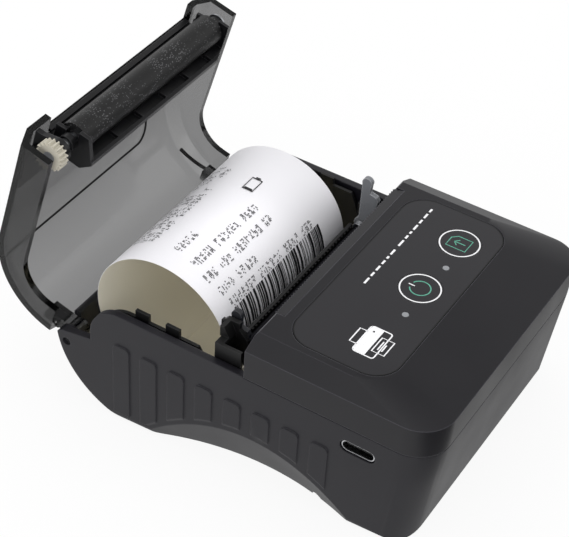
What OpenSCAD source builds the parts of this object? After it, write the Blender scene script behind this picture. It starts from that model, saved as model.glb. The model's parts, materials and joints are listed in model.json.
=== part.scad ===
// Portable receipt printer with a swing-up paper lid, drawn with the lid open.
// X runs across the printer, Y from the front to the hinge and Z up.
// The origin is on the table, near the middle of the underside.

/* [Case] */
// Length of the fixed front part, up to the lid
front_len = 50.8; // [50:0.1:60]
// Height from the table to the joint between the case halves, at the lid's front edge
base_depth = 34.2; // [33:0.1:40]
// Slope of the joint plane towards the front
tilt = 3.5; // [0:0.5:5]
// Inward slope of the front wall below the joint
front_draft = 6.3; // [0:0.1:8]
// Wall of the case halves
wall = 2; // [1.6:0.1:2.4]
// Upright front corners
corner_r = 9; // [6:0.5:11]
// Edge between the front wall and the underside
toe_r = 4; // [2:0.5:7]
// Edges between the sides and the underside
foot_r = 2.2; // [1:0.1:3]
// Radius of the shoulder where the side walls step down to the hinge
shoulder_r = 9.4; // [6:0.2:10]
// Height of the upright side walls of the top, above the joint
ridge_z = 8.6; // [8:0.1:12]
// Height of the top face above the joint
top_z = 11.07; // [10.8:0.01:15]
// Width of the sloping strip along each side of the top
bevel_w = 5.3; // [3:0.1:7]
// Length of the slope at the front of the top
slope_len = 17; // [10:0.5:18]
// Forward lean of the front wall above the joint
brow = 0.4; // [0:0.1:1]

/* [Grips] */
// Number of raised pads on each side
pad_count = 8; // [1:1:8]
// Width of a pad
pad_w = 5; // [3:0.1:6]
// Distance from pad to pad
pad_pitch = 8.23; // [7:0.01:8.4]
// Corner radius of a pad's upper end
pad_r = 1.4; // [0.5:0.1:1.4]
// Height of a pad above the side wall
pad_t = 0.4; // [0.3:0.1:1]
// Top of the pads below the joint
pad_top = 9.8; // [8:0.1:14]
// Radius of the hand scoop under each side
scoop_r = 85; // [70:1:120]
// Depth of the scoop at the lower edge
scoop_depth = 5.9; // [3:0.1:6.5]
// Slope of the scoop from upright
scoop_angle = 24; // [15:1:30]

/* [Paper bay] */
// Radius of the case around the bay's back
bulb_r = 24.7; // [24.7:0.1:26]
// Radius of the bay
bay_r = 21.5; // [21.5:0.1:22]
// Width of the paper, which sets the width of the printer
paper_w = 57; // [50:0.5:60]
// Outer radius of the paper coil
coil_r = 20.1; // [14:0.1:20.1]
// Thickness of the paper
paper_t = 0.4; // [0.2:0.1:0.6]
// Wall of the tray
tray_t = 1; // [0.8:0.1:1.2]

/* [Lid] */
// Angle of the lid when open
open_angle = 74.6; // [60:0.2:80]
// Wall of the lid
lid_wall = 1.8; // [1.4:0.1:2]
// Gap between the lid and the fixed case
lid_gap = 0.3; // [0.2:0.05:0.5]
// Radius of the hinge barrels
barrel_r = 3; // [2.4:0.1:3.2]
// Length of a hinge barrel
barrel_w = 3.8; // [3:0.1:4]
// Radius of the hinge pins
pin_r = 1.2; // [0.8:0.05:1.4]
// Depth of the paper exit cut into the lid's front edge
exit_depth = 5; // [4.5:0.1:5.2]

/* [Platen] */
// Radius of the rubber roller
roller_r = 4; // [3.6:0.1:4.2]
// Radius of the roller's shaft
shaft_r = 1.5; // [1:0.1:1.6]
// Outer radius of the roller's bushes
bush_r = 2.2; // [2.1:0.1:2.4]
// Width of a bush
bush_w = 1.8; // [1.6:0.1:2]
// Running clearance of shafts, pins and keys, on the radius
run_gap = 0.06; // [0.03:0.01:0.1]

/* [Gears] */
// Gear module
gear_module = 0.4; // [0.38:0.01:0.42]
// Teeth of the roller's gear
platen_teeth = 18; // [17:1:20]
// Teeth of the drive gear
drive_teeth = 30; // [26:1:31]
// Teeth of the idler's large wheel
idler_big_teeth = 34; // [32:1:35]
// Teeth of the idler's small wheel
idler_small_teeth = 14; // [13:1:15]
// Teeth of the motor's pinion
pinion_teeth = 12; // [11:1:13]
// Width of the roller's gear
gear_w = 2.4; // [2:0.1:2.8]
// Radius of the gear axles
axle_r = 0.8; // [0.6:0.05:0.9]

/* [Print unit] */
// Thickness of the unit's side plates
plate_t = 1.2; // [1:0.1:1.4]
// Width of a latch arm
latch_w = 1.4; // [1.2:0.1:1.6]
// Radius of the rod that carries the latch arms
rod_r = 1; // [0.7:0.1:1.2]
// Height of the tear bar's blade
blade_t = 0.8; // [0.6:0.1:1]
// Distance from tooth to tooth on the tear bar
tooth_pitch = 1; // [1:0.1:2.5]
// Diameter of the feed motor
motor_d = 16; // [12:0.5:16]
// Length of the feed motor
motor_len = 14.4; // [10:0.2:18]

/* [Panel] */
// Corner radius of the cover sheet
sheet_r = 7.2; // [3:0.1:9]
// Thickness of the cover sheet
sheet_t = 0.5; // [0.3:0.1:0.7]
// Radius of a key
key_r = 5.6; // [4:0.1:5.8]
// Travel of a key
key_travel = 0.5; // [0.3:0.1:0.8]
// Distance between the two keys
key_pitch = 20.6; // [19:0.2:24]
// Radius of a status light
led_r = 0.85; // [0.6:0.05:1.2]

/* [Electronics] */
// Thickness of the circuit boards
board_t = 1.6; // [1:0.1:1.8]
// Width of the charging socket's shell
usb_w = 8.94; // [8:0.1:9]
// Height of the charging socket's shell
usb_h = 3.26; // [3:0.02:3.3]
// Length of the charging socket's shell
usb_len = 7.4; // [6.8:0.1:9]
// Battery from front to back
battery_len = 34; // [26:0.5:34]

/* [Hidden] */
$fn = 96;
big = 200;

// Shared places in the plane of the joint between the case halves.
side_x = (paper_w + 23) / 2;
inner_x = side_x - wall;
top_x = side_x - bevel_w;
bevel_angle = atan2(top_z - ridge_z, bevel_w);
slope_angle = atan2(top_z - ridge_z, slope_len + brow);
case_y = -3.4;
case_z = base_depth * cos(tilt);

// The bay: its round back, the shoulder and the hinge.
bay_y = 33.5;
bay_z = -11.65;
bulb_y = bay_y + bay_r + 1.2 - bulb_r;
bulb_z = bay_z + 0.15;
shoulder_y = 36;
rear_y = shoulder_y + shoulder_r;
step_z = -12.4;
tray_front_z = bay_z + 0.35;
tray_rear_z = step_z - 0.8;
hinge_y = 53.1;
hinge_z = -17.4;
lug_r = 3.6;
lug_in = inner_x - 0.8;
lid_y = bay_y - 0.1;
lid_z = top_z - 22.57;
paper_x = 2.5;

// Centres of the platen and of the gears that drive it.
platen_y = 2.4;
platen_z = 2.6;
platen_reach = norm([hinge_y - platen_y, platen_z - hinge_z]);
tip_gap = 0.35;
mesh_gap = 0.12;
drive_y = platen_y + 0.6;
drive_reach = gear_module * (platen_teeth + drive_teeth + 4) / 2 + tip_gap;
drive_z = platen_z - sqrt(pow(drive_reach, 2) - pow(drive_y - platen_y, 2));
idler_reach = gear_module * (drive_teeth + idler_small_teeth) / 2 + mesh_gap;
idler_y = drive_y + idler_reach * cos(199);
idler_z = drive_z + idler_reach * sin(199);
pinion_reach = gear_module * (idler_big_teeth + pinion_teeth) / 2 + mesh_gap;
pinion_y = idler_y + pinion_reach * cos(170);
pinion_z = idler_z + pinion_reach * sin(170);
motor_shaft_r = 0.75;
latch_y = 9.4;
latch_z = -7;
latch_top = 7.3;
latch_head_r = 1.45;
gear_swing = platen_reach - gear_module * (platen_teeth / 2 + 0.9) - 0.3;

// Planes across the printer, from the left wall inwards and from the right wall inwards.
gear_x0 = -(inner_x - 1.8);
gear_x1 = gear_x0 + gear_w;
frame_x0 = -(inner_x - 6.4);
frame_x1 = frame_x0 + plate_t;
bush_x0 = frame_x1 + 0.5;
latch_x0 = bush_x0 + (bush_w - latch_w) / 2;
right_x1 = inner_x - 2;
right_x0 = right_x1 - plate_t;
bush_x1 = right_x0 - 0.2;
latch_x1 = bush_x1 - (bush_w + latch_w) / 2;
roller_x0 = paper_x - paper_w / 2 - 0.5;
roller_x1 = paper_x + paper_w / 2 + 0.5;
head_x0 = roller_x0 + 0.5;
head_x1 = roller_x1 - 0.5;
jaw_x0 = bush_x0 + bush_w + 0.2;
jaw_x1 = bush_x1 - bush_w - 0.2;

// The print head stands in front of the roller.
head_y = platen_y - roller_r - 0.3;
ceramic_t = 0.9;
sink_t = 2.5;
sink_y = head_y - ceramic_t - sink_t;
spring_len = 2.4;
front_y = sink_y - spring_len;

// Top edge of the front part, where the tear bar lies.
tear_y = -2.6;
tear_angle = 10;

// Screw columns, boards and keys.
column_r = 2.6;
front_col = [side_x - 8, -(front_len - 8.8)];
rear_col = [inner_x - 3.2, -20.5];
columns = [[-front_col[0], front_col[1]], front_col, [-rear_col[0], rear_col[1]], rear_col];
board_top = -7.75;
board_y0 = 12 - front_len;
board_y1 = pinion_y - motor_d / 2 - 0.8;
board_x = inner_x - 2.4;
usb_y = (board_y0 + board_y1) / 2 - 0.7;
usb_z = board_top + usb_h / 2 + 0.02;
sheet_y = -5.4;
sheet_w = 2 * top_x - 4.2;
sheet_len = front_len - slope_len - 5.6;
keys_y = sheet_y - sheet_len + 9.4;
feed_x = sheet_w / 2 - 11.2;
power_x = feed_x - key_pitch;
panel_z = 4;
panel_top = panel_z + board_t;
skin_z = top_z - wall;
screw_r = 1;
head_r = 1.7;
door_len = battery_len + 4.6;
door_y = -1.2;
battery_x = 1;
battery_y = -5.2;
battery_z = wall + 0.3;
battery_w = 2 * inner_x - 22;
battery_h = base_depth + pinion_z - motor_d / 2 - battery_z - 4;
board_posts = [[battery_x - battery_w / 2 - 2.8, board_y1 - 1.9], [inner_x - 6.5, board_y0 + 1.8],
               [inner_x - 6.5, board_y1 - 1.9]];
panel_x = [power_x - 17.3, feed_x + 9.1];
panel_y = [keys_y - 9.3, keys_y + 8.6];
panel_posts = [for (x = [panel_x[0] + 2, panel_x[1] - 2], y = [panel_y[0] + 2, panel_y[1] - 1.8]) [x, y]];
frame_feet = [frame_x1 + 2.4, right_x0 - 2.4];

// The part of the lid that carries the roller.
lid_in = top_z - lid_wall;
carrier_z = 7.3;
shelf_y = platen_y + 3.6;
shelf_t = 3;
shelf_z = -4.6;
rib_pitch = 10.2;
rib_d = 1.2;
shelf_cut = [6.2, 2.5];
carrier_screw_y = 12.6;
carrier_screws_x = [paper_x - 22.5, paper_x + 22.5];

// Ribbed wall that guides the paper from the coil to the roller.
guide_z = -5.5;
guide_y = latch_y + 1.3;
guide_t = 0.9;
guide_pitch = 1.5;
guide_x0 = latch_x0 + latch_w + 2.6;
guide_x1 = latch_x1 - 2.8;
guide_count = floor((guide_x1 - guide_x0 - 1) / guide_pitch);

// Puts pieces drawn in the plane of the case joint onto the table.
module in_case() {
  translate([0, case_y, case_z]) rotate([tilt, 0, 0]) children();
}

// Puts pieces drawn with the lid closed onto the open lid.
module on_lid() {
  in_case() translate([0, hinge_y, hinge_z]) rotate([-open_angle, 0, 0])
    translate([0, -hinge_y, -hinge_z]) children();
}

// Lays pieces on the inside of the underside.
module on_base() {
  translate([0, 0, -base_depth]) rotate([-tilt, 0, 0]) children();
}

// A plate across X from a drawing whose axes are Y and Z.
module slab(x0, x1) {
  translate([x0, 0, 0]) rotate([90, 0, 90]) linear_extrude(x1 - x0) children();
}

module block(x, y, z) {
  translate([x[0], y[0], z[0]]) cube([x[1] - x[0], y[1] - y[0], z[1] - z[0]]);
}

module rod(x0, x1, y, z, r) {
  translate([x0, y, z]) rotate([0, 90, 0]) cylinder(h = x1 - x0, r = r);
}

module peg(x, y, z0, z1, r) {
  translate([x, y, z0]) cylinder(h = z1 - z0, r = r);
}

// A ring of wire or rubber round an axis along X.
module coil_ring(x, y, z, r, t) {
  translate([x, y, z]) rotate([0, 90, 0]) rotate_extrude() translate([r, 0]) circle(t, $fn = 24);
}

// Plan of the case, open to the back, drawn in by d.
module plan(d, front) {
  translate([-(side_x - d), corner_r - front]) square([2 * (side_x - d), big]);
  translate([-(side_x - corner_r), d - front]) square([2 * (side_x - corner_r), big]);
  for (s = [-1, 1])
    translate([s * (side_x - corner_r), corner_r - front]) circle(corner_r - d);
}

// Section across the top, with a sloping strip on each side, drawn in by d.
module top_section(d) {
  ridge = ridge_z - d * tan((90 - bevel_angle) / 2);
  flat = top_x - d * tan(bevel_angle / 2);
  x = side_x - d;
  polygon([[-x, -big], [-x, ridge], [-flat, top_z - d], [flat, top_z - d], [x, ridge], [x, -big]]);
}

module along_y(y0, y1) {
  translate([0, y1, 0]) rotate([90, 0, 0]) linear_extrude(y1 - y0) children();
}

// Everything above the underside, raised by d, as a drawing in Y and Z.
module above_base(d) {
  translate([0, -base_depth]) rotate(-tilt) translate([-big, d]) square([2 * big, big]);
}

// Side view of the lower case, with its shoulder, hinge lugs and round back.
module lower_outline() {
  intersection() {
    above_base(0);
    union() {
      translate([-big, -big]) square([big + bulb_y + 0.5, big]);
      translate([bulb_y, -shoulder_r]) square([shoulder_y - bulb_y, shoulder_r]);
      translate([shoulder_y, -shoulder_r]) circle(shoulder_r);
      translate([bulb_y, step_z]) square([rear_y - bulb_y, -step_z - shoulder_r]);
      intersection() {
        translate([bulb_y, bulb_z]) circle(bulb_r);
        lug_side();
      }
    }
  }
}

// The region below the sloping top of the hinge lugs.
module lug_side() {
  polygon([[0, -big], [0, step_z], [rear_y, step_z], [hinge_y, hinge_z + lug_r],
           [hinge_y, hinge_z], [big, hinge_z], [big, -big]]);
  translate([hinge_y, hinge_z]) circle(lug_r);
}

// The front wall leans in towards the underside, so its round corners lean too.
module leaning_plan(d) {
  translate([0, -front_len, 0]) rotate([front_draft, 0, 0])
    translate([0, front_len, -big / 2]) linear_extrude(big) plan(d, front_len);
}

// Waste outside a round edge that touches two faces with inward normals n1 and n2.
module edge_waste(c, r, n1, n2) {
  difference() {
    polygon([c - r * n1, c - 2 * r * n1, c - 3 * r * (n1 + n2), c - 2 * r * n2, c - r * n2]);
    translate(c) circle(r);
  }
}

// Round edge between the front wall and the underside.
module toe_waste() {
  n1 = [cos(front_draft), sin(front_draft)];
  n2 = [sin(tilt), cos(tilt)];
  a = toe_r - front_len * n1[0];
  b = toe_r - base_depth * n2[1];
  k = cos(front_draft + tilt);
  c = [(a * n2[1] - b * n1[1]) / k, (b * n1[0] - a * n2[0]) / k];
  slab(-side_x - 1, side_x + 1) edge_waste(c, toe_r, n1, n2);
}

// Round edges between the sides and the underside.
module foot_waste() {
  for (s = [0, 1]) mirror([s, 0, 0])
    on_base() along_y(-big / 2, big / 2)
      edge_waste([foot_r - side_x, foot_r], foot_r, [1, 0], [0, 1]);
}

// Hand scoops that undercut the sides, grown by d.
module scoops(d) {
  for (s = [-1, 1])
    translate([s * side_x, -4, -base_depth]) rotate([0, s * scoop_angle, 0])
      translate([s * (scoop_r - scoop_depth), 0, -big / 2]) cylinder(h = big, r = scoop_r + d, $fn = 360);
}

// Raised pads on the sides, with rounded upper corners. They end above the hand scoops.
module pads() {
  difference() {
    for (k = [0 : pad_count - 1], s = [-1, 1])
      slab(s * side_x - pad_t, s * side_x + pad_t) translate([shoulder_y - 0.2 - k * pad_pitch, -pad_top]) {
        translate([-pad_w / 2, -big]) square([pad_w, big - pad_r]);
        translate([pad_r - pad_w / 2, -big]) square([pad_w - 2 * pad_r, big]);
        for (i = [-1, 1])
          translate([i * (pad_w / 2 - pad_r), -pad_r]) circle(pad_r);
      }
    on_base() block([-big, big], [-big, big], [-big, foot_r + 0.8]);
    scoops(0.6);
  }
}

// Hollow of the lower case: the front part, the round bay and the open top of the bay.
module hollow() {
  difference() {
    intersection() {
      slab(-inner_x, inner_x) {
        intersection() {
          above_base(wall);
          translate([-big, -big]) square([big + bay_y, big + 1]);
        }
        translate([bay_y, bay_z]) circle(bay_r);
        translate([0, step_z]) square([big, big]);
      }
      leaning_plan(wall);
    }
    scoops(wall);
  }
}

// Crest of the rear wall between the hinge barrels, which the lid's rear edge swings round.
module rear_crest() {
  x = lug_in - barrel_w - 0.8;
  slab(-x, x) difference() {
    intersection() {
      translate([bulb_y, bulb_z]) circle(bulb_r);
      translate([hinge_y, hinge_z]) circle(lug_r + 1);
    }
    translate([bay_y, bay_z]) circle(bay_r);
  }
}

// Fine groove round the joint between the case halves.
module seam_groove() {
  difference() {
    block([-side_x - 1, side_x + 1], [-front_len - 1, 0], [-0.3, 0.1]);
    translate([0, 0, -1]) linear_extrude(2) plan(0.3, front_len);
  }
}

module posts() {
  for (c = columns)
    peg(c[0], c[1], -base_depth - 2, 0, column_r);
  for (p = board_posts)
    peg(p[0], p[1], -base_depth, board_top - board_t, 2);
  peg(4.5 - inner_x, board_y0 + 1.6, -base_depth, board_top - board_t, 1.6);
  for (x = frame_feet)
    peg(x, 3, -base_depth, -19.5, 2.2);
}

module door_shape(gap) {
  x = battery_w / 2 + 1 + gap;
  y0 = door_y - door_len - gap;
  block([battery_x - x, battery_x + x], [y0, door_y + gap], [-1, wall + 0.01]);
}

module bottom_case() {
  color("#3e3d42") in_case() difference() {
    union() {
      difference() {
        intersection() {
          slab(-side_x, side_x) lower_outline();
          leaning_plan(0);
        }
        hollow();
      }
      intersection() {
        posts();
        slab(-side_x + 1, side_x - 1) lower_outline();
      }
      on_base() block([-5, 5], [door_y + 0.4, door_y + 4], [wall - 1, wall + 7]);
      on_base() block([-5, 5], [door_y - 3.6, door_y + 4], [wall + 0.05, wall + 7]);
      for (s = [-1, 1])
        intersection() {
          slab(min(s * lug_in, s * (side_x - 1)), max(s * lug_in, s * (side_x - 1)))
            translate([hinge_y, hinge_z]) circle(lug_r);
          slab(-side_x, side_x) lower_outline();
        }
      pads();
      rear_crest();
    }
    seam_groove();
    toe_waste();
    foot_waste();
    scoops(0);
    hinge_cuts();
    usb_hole();
    on_base() door_shape(0.15);
    on_base() peg(battery_x - 1, door_y - 1.6, -1, wall + 5, 0.9);
    for (c = columns) {
      peg(c[0], c[1], -base_depth - 9, -9, head_r + 0.1);
      peg(c[0], c[1], -10, 1, screw_r + 0.1);
    }
    for (p = board_posts)
      peg(p[0], p[1], board_top - 8, board_top, screw_r - 0.1);
    for (x = frame_feet)
      peg(x, 3, -26, -19, screw_r - 0.1);
  }
}

// Bores for the hinge pins, and the gaps that the lid's barrels swing in.
module hinge_cuts() {
  rod(-side_x - 1, side_x + 1, hinge_y, hinge_z, pin_r + 0.02);
  for (s = [-1, 1]) {
    x0 = min(s * lug_in, s * (lug_in - barrel_w - 0.8));
    block([x0, x0 + barrel_w + 0.8], [48, 60], [-22, 0]);
  }
}

module stadium(w, h) {
  square([w - h, h], center = true);
  for (s = [-1, 1])
    translate([s * (w - h) / 2, 0]) circle(h / 2);
}

module usb_hole() {
  slab(-side_x - 1, -inner_x + 1) translate([usb_y, usb_z]) stadium(usb_w + 0.6, usb_h + 0.5);
}

// Outside of the top: upright walls, sloping strips and a long slope at the front.
module top_outside() {
  hull() {
    linear_extrude(0.02) intersection() {
      plan(0, front_len, $fn = 64);
      translate([-big, -big]) square([2 * big, big]);
    }
    translate([0, 0, ridge_z - 0.02]) linear_extrude(0.02) intersection() {
      plan(0, front_len + brow, $fn = 64);
      translate([-big, -big]) square([2 * big, big]);
    }
    translate([0, 0, top_z - 0.02]) linear_extrude(0.02) top_plan();
  }
}

module top_plan() {
  y = front_len - slope_len;
  r = corner_r - 1;
  translate([-top_x, r - y]) square([2 * top_x, y - r]);
  translate([r - top_x, -y]) square([2 * (top_x - r), y]);
  for (s = [-1, 1])
    translate([s * (top_x - r), r - y]) circle(r, $fn = 64);
}

module top_hollow() {
  intersection() {
    along_y(-front_len, 1) top_section(wall);
    translate([0, 0, -1]) linear_extrude(top_z) plan(wall, front_len);
    slab(-side_x, side_x) intersection() {
      translate([-(front_len - slope_len), top_z]) rotate(slope_angle)
        translate([-big, -big - wall]) square([2 * big, big]);
      translate([-big, -1]) square([2 * big, big]);
    }
  }
}

// Outline of the panel's cover sheet.
module sheet_plan(gap) {
  x = sheet_w / 2 + gap;
  y = sheet_len / 2 + gap;
  translate([0, sheet_y - sheet_len / 2]) {
    square([2 * x, 2 * (y - sheet_r)], center = true);
    square([2 * (x - sheet_r), 2 * y], center = true);
    for (i = [-1, 1], j = [-1, 1])
      translate([i * (x - sheet_r), j * (y - sheet_r)]) circle(sheet_r);
  }
}

module light_pegs(r, z0, z1) {
  for (x = [power_x, feed_x])
    peg(x - key_pitch / 2, keys_y - 1.6, z0, z1, r);
}

module top_case() {
  color("#3c3b40") in_case() difference() {
    union() {
      difference() {
        top_outside();
        top_hollow();
      }
      intersection() {
        for (c = columns) peg(c[0], c[1], 0, ridge_z, column_r);
        top_outside();
      }
      for (p = panel_posts) peg(p[0], p[1], panel_top, skin_z + 0.5, 1.9);
    }
    translate([0, 0, top_z - sheet_t]) linear_extrude(sheet_t + 1) sheet_plan(0.15);
    for (x = [power_x, feed_x])
      peg(x, keys_y, 0, top_z + 1, key_r + run_gap);
    light_pegs(led_r + 0.05, 6, top_z + 1);
    at_tear() block([roller_x0 - 0.2, roller_x1 + 0.2], [0, 4], [-blade_t, 2]);
    slab(-side_x - 1, side_x + 1)
      polygon([[-0.6, top_z + 0.1], [0.1, top_z - 0.6], [1, top_z - 0.6], [1, top_z + 1], [-0.6, top_z + 1]]);
    for (c = columns) peg(c[0], c[1], -1, 6, screw_r + 0.02);
    for (p = panel_posts) peg(p[0], p[1], panel_z, panel_top + 3, screw_r - 0.1);
  }
}

module panel_sheet() {
  color("#3a393e") in_case() difference() {
    translate([0, 0, top_z - sheet_t]) linear_extrude(sheet_t) sheet_plan(0);
    for (x = [power_x, feed_x])
      peg(x, keys_y, 0, top_z + 1, key_r + run_gap);
    light_pegs(led_r + 0.05, 0, top_z + 1);
  }
}

module status_lights() {
  color("#77797c") in_case() light_pegs(led_r, panel_top + 1.2, top_z);
}

// The bar's front edge is flush with the top, and it slopes down towards the paper.
module at_tear() {
  translate([0, tear_y, top_z]) rotate([-tear_angle, 0, 0]) children();
}

// Toothed bar that the paper is torn against.
module tear_bar() {
  x0 = roller_x0;
  root = -tear_y;
  n = floor((roller_x1 - x0) / tooth_pitch);
  teeth = [for (i = [0 : n - 1])
    each [[x0 + i * tooth_pitch, root], [x0 + (i + 0.5) * tooth_pitch, root + 0.5]]];
  end = x0 + n * tooth_pitch;
  color("#242426") in_case() at_tear() translate([0, 0, -blade_t]) linear_extrude(blade_t)
    polygon(concat([[x0, 0]], teeth, [[end, root], [end, 0]]));
}

// Round tray with a cheek and two upright tabs on each side.
module paper_tray() {
  color("#1b1b1d") in_case() difference() {
    union() {
      slab(-(inner_x - 1.1), inner_x - 1.1) difference() {
        translate([bay_y, bay_z]) circle(bay_r - 0.1);
        translate([bay_y, bay_z]) circle(bay_r - 0.1 - tray_t);
        translate([0, tray_front_z]) square([bay_y, big]);
        translate([bay_y - 1, tray_rear_z]) square([big, big]);
      }
      for (s = [0, 1]) mirror([s, 0, 0])
        slab(-(inner_x - 1.1), -(inner_x - 2)) intersection() {
          union() {
            intersection() {
              translate([bay_y, bay_z]) circle(bay_r - 0.1);
              translate([0, -big]) square([hinge_y - barrel_r - 3, big - 0.8]);
            }
            for (y = [20.6, 29.6]) translate([y, -8]) square([4, 9.5]);
          }
          union() {
            translate([-big, -big]) square([2 * big, big - shoulder_r]);
            translate([shoulder_y - 1, -shoulder_r]) circle(shoulder_r - 0.8);
            translate([-big, -big]) square([big + shoulder_y - 1, 2 * big]);
          }
        }
    }
    for (s = [0, 1]) mirror([s, 0, 0])
      block([-inner_x, 0.6 - lug_in + barrel_w], [48, 60], [-22, 0]);
  }
}

// Coil of paper in the tray.
module paper_coil() {
  color("#f0eff2") in_case()
    slab(paper_x - paper_w / 2, paper_x + paper_w / 2)
      translate([bay_y, bay_z - (bay_r - 0.1 - tray_t - coil_r)]) difference() {
        circle(coil_r);
        circle(coil_r - paper_t);
      }
}

// Side view of the left plate, with an open slot for the roller's shaft.
module left_plate() {
  difference() {
    union() {
      translate([pinion_y - 8.4, -19.5]) square([20.4 - pinion_y, 17]);
      translate([front_y - plate_t, -3]) square([12 - front_y + plate_t, 9]);
      polygon([[platen_y + 4, 5], [platen_y + 4, 7.2], [10.4, 7.2], [11.2, 6.4], [11.2, 5]]);
    }
    translate([platen_y, platen_z]) circle(shaft_r + 0.5);
    polygon([[platen_y - shaft_r - 0.5, platen_z], [platen_y - shaft_r - 0.5, 8],
             [platen_y + 4.4, 8], [platen_y + 4.4, 5.2], [platen_y + shaft_r + 0.5, platen_z]]);
  }
}

module print_frame() {
  color("#232326") in_case() difference() {
    union() {
      slab(frame_x0, frame_x1) left_plate();
      slab(right_x0, right_x1) {
        translate([front_y - plate_t, -19.5]) square([12 - front_y + plate_t, 17.5]);
        translate([front_y - plate_t, -3]) square([3, 9]);
      }
      block([frame_x0, right_x1], [front_y - plate_t, front_y], [-1.8, 6]);
      block([frame_x1 - 0.5, right_x0 + 0.5], [sink_y, head_y - 0.1], [-10.2, -8.2]);
      block([frame_x1 - 0.5, right_x0 + 0.5], [9, guide_y + guide_t], [-19.5, -13.5]);
      block([guide_x0, guide_x1], [guide_y, guide_y + guide_t], [-14, guide_z]);
      for (i = [0 : guide_count])
        block([guide_x0 + 0.2 + i * guide_pitch, guide_x0 + 0.8 + i * guide_pitch],
              [guide_y - 0.4, guide_y + 0.3], [-9.5, guide_z - 0.2]);
      block([gear_x0 - 1.4, gear_x0 - 0.5], [2.4, 9.8], [-4.5, 4.4]);
      intersection() {
        union() {
          block([gear_x0 - 1.4, frame_x0 + 0.5], [7.6, 9.8], [-1.5, 4.4]);
          block([gear_x0 + 1.6, frame_x0 + 0.5], [7.6, 10.4], [4, 7.2]);
        }
        rod(-side_x, side_x, hinge_y, hinge_z, gear_swing);
      }
      block([frame_x1 - 0.5, frame_x1 + 4.8], [0.6, 5.4], [-19.5, -18]);
      block([right_x0 - 4.8, right_x0 + 0.5], [0.6, 5.4], [-19.5, -18]);
      rod(gear_x0 - 0.3, frame_x0 + 0.5, drive_y, drive_z, axle_r);
      rod(gear_x0 - 0.3, frame_x0 + 0.5, idler_y, idler_z, axle_r);
    }
    rod(frame_x0 - 1, frame_x1 + 1, pinion_y, pinion_z, 1.4);
    rod(frame_x0 - 1, right_x1 + 1, latch_y, latch_z, rod_r + 0.02);
    for (a = [100, -100])
      rod(frame_x0 - 1, frame_x1 + 1, pinion_y + 6 * cos(a), pinion_z + 6 * sin(a), 0.8);
    for (x = frame_feet) peg(x, 3, -20, -17, screw_r + 0.1);
  }
}

module frame_screws() {
  color("silver") in_case()
    for (x = frame_feet) {
      peg(x, 3, -18, -16.8, head_r);
      peg(x, 3, -25, -17.9, screw_r - 0.12);
    }
}

module head_heatsink() {
  color("#9a9ca0") in_case()
    block([head_x0, head_x1], [sink_y, head_y - ceramic_t], [-8.2, 6.5]);
}

module head_ceramic() {
  color("#c9c4b4") in_case()
    block([head_x0, head_x1], [head_y - ceramic_t, head_y], [-6, 7]);
}

module head_springs() {
  color("silver") in_case()
    for (x = [paper_x - 15, paper_x + 15])
      translate([x, front_y, 2]) rotate([-90, 0, 0]) difference() {
        cylinder(h = spring_len, r = 1.7);
        translate([0, 0, -1]) cylinder(h = spring_len + 2, r = 1.2);
      }
}

module feed_motor() {
  color("#8e9094") in_case() difference() {
    rod(frame_x1, frame_x1 + motor_len, pinion_y, pinion_z, motor_d / 2);
    rod(frame_x1 - 1, frame_x1 + 4, pinion_y, pinion_z, motor_shaft_r + run_gap);
  }
}

module motor_screws() {
  color("silver") in_case()
    for (a = [100, -100]) {
      rod(frame_x0 - 0.8, frame_x0, pinion_y + 6 * cos(a), pinion_z + 6 * sin(a), 1.4);
      rod(frame_x0 - 0.1, frame_x1, pinion_y + 6 * cos(a), pinion_z + 6 * sin(a), 0.78);
    }
}

module latch_rod() {
  color("silver") in_case() rod(frame_x0, right_x1, latch_y, latch_z, rod_r);
}

// Latch arm, kept clear of the bush that swings past it.
module latch_arm(x) {
  difference() {
    intersection() {
      union() {
        rod(x, x + latch_w, latch_y, latch_z, 2.4);
        rod(x, x + latch_w, latch_y - 0.4, latch_top, latch_head_r);
        slab(x, x + latch_w)
          polygon([[latch_y - 2, latch_z], [latch_y - 4.2, platen_z - 0.2], [latch_y - 3.6, platen_z + 1],
                   [latch_y - 1.5, platen_z + 1.6], [latch_y - 1.75, latch_top + 0.2],
                   [latch_y + 0.95, latch_top + 0.2], [latch_y + 1.2, latch_z]]);
      }
      rod(x - 1, x + latch_w + 1, hinge_y, hinge_z, platen_reach - bush_r - 0.3, $fn = 360);
    }
    rod(x - 1, x + latch_w + 1, latch_y, latch_z, rod_r + run_gap);
  }
}

module left_latch() {
  color("#4a4b4f") in_case() latch_arm(latch_x0);
}

module right_latch() {
  color("#9b9da0") in_case() latch_arm(latch_x1);
}

module latch_springs() {
  color("silver") in_case()
    for (x = [latch_x0 + latch_w + 0.6, latch_x1 - 2])
      for (k = [0 : 2]) coil_ring(x + k * 0.62, latch_y, latch_z, rod_r + 0.36, 0.3);
}

// Gear drawn round the origin: flanks narrow from the root to the tip.
function gear_points(n, a) = let (p = gear_module * n / 2, s = 360 / n)
  [for (i = [0 : n - 1]) each
    [for (q = [[-0.33, -1.1], [-0.1, 0.9], [0.1, 0.9], [0.33, -1.1]])
      (p + q[1] * gear_module) * [cos(a + (i + q[0]) * s), sin(a + (i + q[0]) * s)]]];

module gear(x0, x1, y, z, n, bore, a) {
  slab(x0, x1) translate([y, z]) difference() {
    polygon(gear_points(n, a));
    circle(bore);
  }
}

module drive_gear() {
  color("#e9e9e6") in_case()
    gear(gear_x0, gear_x0 + 2, drive_y, drive_z, drive_teeth, axle_r + run_gap, 19);
}

module idler_gear() {
  color("#e9e9e6") in_case() {
    gear(gear_x0, gear_x0 + 2.4, idler_y, idler_z, idler_small_teeth, axle_r + run_gap,
         19 + 180 / idler_small_teeth);
    gear(gear_x0 + 2.4, gear_x0 + 4, idler_y, idler_z, idler_big_teeth, axle_r + run_gap, 170);
  }
}

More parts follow.
